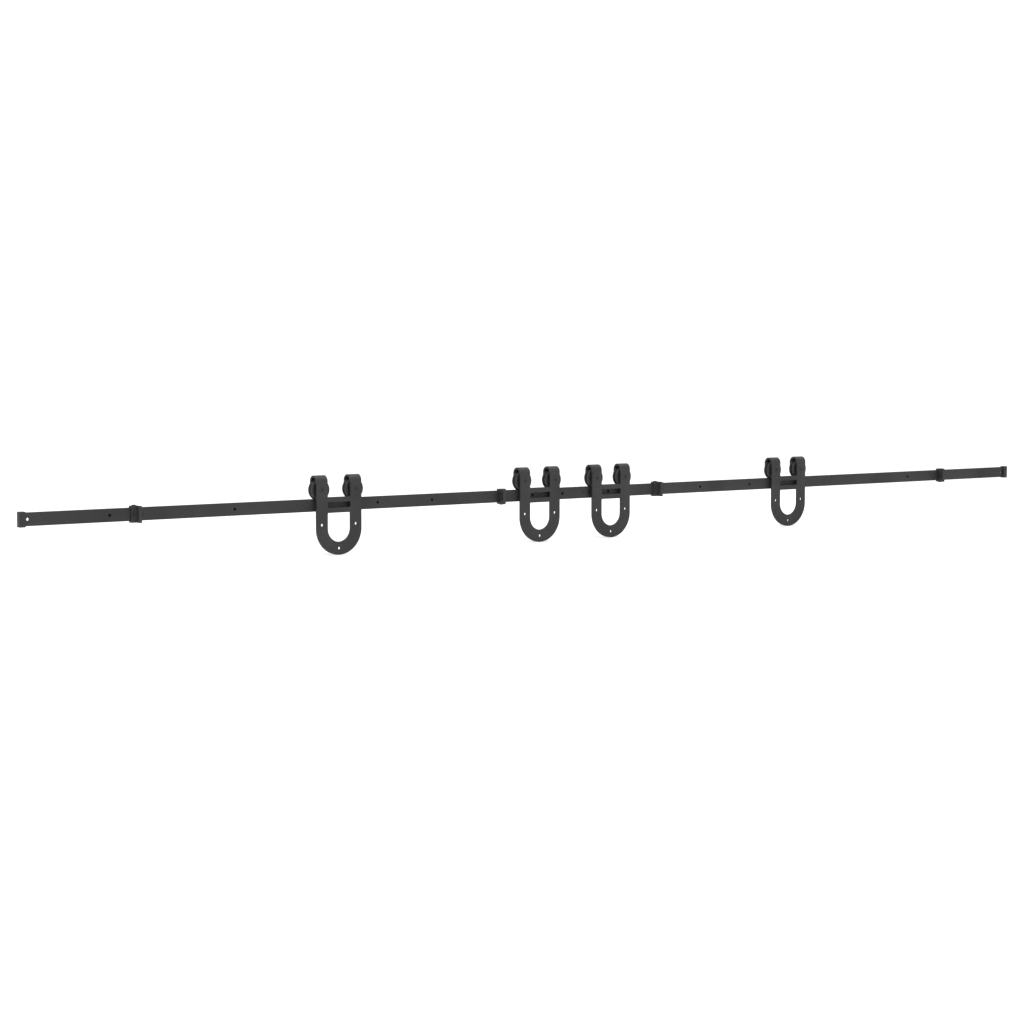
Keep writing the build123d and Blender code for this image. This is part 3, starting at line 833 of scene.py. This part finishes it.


# The edge number sets how much the broken edges are lightened, as wear and partly as a painted
# highlight.
rail_coat = finish("rail_powder_coat", 0.015, 0.023, 0.58, 0.06, 620, 0.22, edge=0.5)
hanger_coat = finish("hanger_powder_coat", 0.015, 0.024, 0.56, 0.06, 700, 0.22, edge=0.5)
stop_coat = finish("stop_powder_coat", 0.016, 0.025, 0.56, 0.06, 760, 0.22, edge=0.5)
spacer_coat = finish("spacer_powder_coat", 0.015, 0.023, 0.58, 0.06, 760, 0.2, edge=0.4)
wheel_coat = finish("wheel_satin_black", 0.013, 0.022, 0.42, 0.07, 900, 0.12, rings=1.2, edge=0.5)
black_oxide = finish("screw_black_oxide", 0.011, 0.018, 0.36, 0.06, 1500, 0.08, edge=0.6)
cap_plastic = finish("cap_moulded_plastic", 0.014, 0.019, 0.5, 0.05, 1800, 0.25, edge=0.1)
rubber = finish("buffer_rubber", 0.012, 0.018, 0.78, 0.08, 1300, 0.4, gloss=0.2, edge=0.2)
print("finishes:", [m.name for m in bpy.data.materials if m.node_tree and len(m.node_tree.nodes) > 6])

# %% [markdown]
# The bearings and the sleeves beside them are ground steel. Their black seals lie a little
# inside the ring's faces, so the same material turns black inside that depth.

# %% Build the ground steel
SEAL_INSIDE = 0.15 * MM
SEAL_BLACK = (0.018, 0.018, 0.019, 1)


def ground_steel():
    material = finish("ground_steel", 0.42, 0.58, 0.26, 0.08, 2200, 0.05, metal=1.0, edge=0.2)
    tree = material.node_tree
    shader = tree.nodes["Principled BSDF"]
    ramp = tree.nodes["Color Ramp"]
    place = tree.nodes.new("ShaderNodeSeparateXYZ")
    tree.links.new(tree.nodes.new("ShaderNodeTexCoord").outputs["Object"], place.inputs[0])
    depth = math_node(tree, "ABSOLUTE", math_node(tree, "SUBTRACT", place.outputs["Y"], RAIL_Y))
    sealed = math_node(tree, "LESS_THAN", depth, BEARING_WIDTH / 2 - SEAL_INSIDE)
    colour = tree.nodes.new("ShaderNodeMix")
    colour.data_type = "RGBA"
    tree.links.new(sealed, colour.inputs["Factor"])
    tree.links.new(ramp.outputs["Color"], colour.inputs["A"])
    colour.inputs["B"].default_value = SEAL_BLACK
    tree.links.new(colour.outputs["Result"], shader.inputs["Base Color"])
    tree.links.new(math_node(tree, "SUBTRACT", 1.0, sealed), shader.inputs["Metallic"])
    return material


steel = ground_steel()
for name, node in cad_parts.items():
    if name.endswith(("_bearing", "_inner_rings", "_sleeves")):
        node.data.materials.clear()
        node.data.materials.append(steel)
        node["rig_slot"] = "bearing_steel"
print("steel on", sum(steel.name in o.data.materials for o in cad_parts.values()), "nodes")

# %% [markdown]
# ## Putting it together
# Every master piece was made once, at the middle of the track. Now each is copied to each of its
# places, which are read from the frame, and hung on the body that moves there.

# %% Place the hangers and their wheels
def middle_of(node):
    low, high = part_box(node)
    return (low + high) / 2


for number in NUMBERS:
    shift = Vector((middle_of(f"hanger_{number}_plate").x, 0, 0))
    body = f"hanger_{number}"
    bent = copied(strap, f"strap_{number}", shift)
    place(bent, body, f"{body}_plate", "hanger_coat", hanger_coat)
    for kind, part in (("axle_bolts", bolt), ("lock_nuts", nut)):
        pair = [copied(part, kind, shift + Vector((x, 0, 0))) for x in (-ARM_X, ARM_X)]
        place(joined(f"{kind}_{number}", pair), body, f"{body}_{kind}", "black_screw", black_oxide)
    for side, x in zip(SIDES, (-ARM_X, ARM_X)):
        turned = copied(wheel, f"grooved_wheel_{number}_{side}", shift + Vector((x, 0, 0)))
        place(turned, f"roller_{number}_{side}", f"wheel_{number}_{side}", "wheel_coat", wheel_coat)
print("placed", len(made), "pieces")

# %% Place the track, its caps and its stops
for name, side in zip(SIDES, (-1, 1)):
    place(rails[name], "track", f"rail_{name}", "rail_coat", rail_coat)
    end_piece = copied(cap, f"end_plug_{name}", Vector(), turned=side < 0)
    place(end_piece, "track", f"end_cap_{name}", "cap_plastic", cap_plastic)
cap_screws = [copied(one_cap_screw, "cap screw", Vector(), turned=side < 0) for side in (-1, 1)]
place(joined("cap_set_screws", cap_screws), "track", "end_cap_screws", "black_screw", black_oxide)
standoffs = [copied(one_spacer, "spacer", Vector((x, 0, 0))) for x in WALL_HOLES_X]
place(joined("standoffs", standoffs), "track", "wall_spacers", "spacer_coat", spacer_coat)
place(splice, "track", "splice_plate", "rail_coat", rail_coat)
splice_screws = [copied(one_splice_screw, "splice screw", Vector((x, 0, 0))) for x in SPLICE_SCREWS_X]
place(joined("joint_screws", splice_screws), "track", "splice_screws", "black_screw", black_oxide)
for number in NUMBERS:
    shift = Vector((middle_of(f"stop_{number}_clamp").x, 0, 0))
    over = middle_of(f"stop_{number}_bumper").x < shift.x
    centre = shift + Vector(((1 if over else -1) * (STOP_LOW + STOP_HIGH) / 2, 0, 0))
    place(copied(sleeve, f"stop_sleeve_{number}", centre, over), "track", f"stop_{number}_clamp",
          "stop_coat", stop_coat)
    place(copied(buffer, f"stop_buffer_{number}", centre, over), "track", f"stop_{number}_bumper",
          "rubber", rubber)
    screws = [copied(part, "stop screw", centre, over) for part in (grub, button)]
    place(joined(f"stop_set_screws_{number}", screws), "track", f"stop_{number}_screws",
          "black_screw", black_oxide)
for master in (strap, bolt, nut, wheel, one_spacer, one_splice_screw, cap, one_cap_screw,
               sleeve, buffer, grub, button):
    bpy.data.objects.remove(master)
print("placed", len(made), "pieces;", sum(len(o.data.polygons) for o in made), "faces")

# %% [markdown]
# ## Floor and light
# The hardware is shown on a plain pale floor, in the even light of a white studio. One broad
# soft light high on the left makes the front faces a little brighter than the sides, and another
# overhead does the same for the tops.

# %% Lay the floor and hang the lights
FLOOR_GAP, FLOOR_SIZE = 0.5 * MM, 60
FLOOR_GREY = (0.96, 0.96, 0.96, 1)
STUDIO_STRENGTH = 1.08
bpy.ops.object.select_all(action="DESELECT")
bpy.ops.mesh.primitive_plane_add(size=FLOOR_SIZE, location=(0, 0, cad_box[0].z - FLOOR_GAP))
floor = bpy.context.object
floor.name = "floor"
paint = bpy.data.materials.new("floor_paint")
paint.use_nodes = True
paint_shader = paint.node_tree.nodes["Principled BSDF"]
paint_shader.inputs["Base Color"].default_value = FLOOR_GREY
paint_shader.inputs["Roughness"].default_value = 0.9
floor.data.materials.append(paint)

world = bpy.data.worlds.new("studio")
bpy.context.scene.world = world
world.use_nodes = True
background = world.node_tree.nodes["Background"]
background.inputs["Color"].default_value = (1, 1, 1, 1)
background.inputs["Strength"].default_value = STUDIO_STRENGTH


def soft_light(name, place, aim, power, width, height):
    """A rectangular lamp of some watts, aimed from a place at another."""
    lamp = bpy.data.objects.new(name, bpy.data.lights.new(name, "AREA"))
    bpy.context.scene.collection.objects.link(lamp)
    lamp.data.shape = "RECTANGLE"
    lamp.data.size, lamp.data.size_y, lamp.data.energy = width, height, power
    lamp.location = place
    lamp.rotation_euler = (Vector(aim) - Vector(place)).to_track_quat("-Z", "Y").to_euler()


soft_light("key", (-2.5, -4.5, 3.5), (0, 0, 0), 100, 4.0, 2.5)
soft_light("top", (1.0, -0.5, 4.0), (0, 0, 0), 80, 5.0, 2.0)
bpy.context.scene.view_settings.view_transform = "Standard"
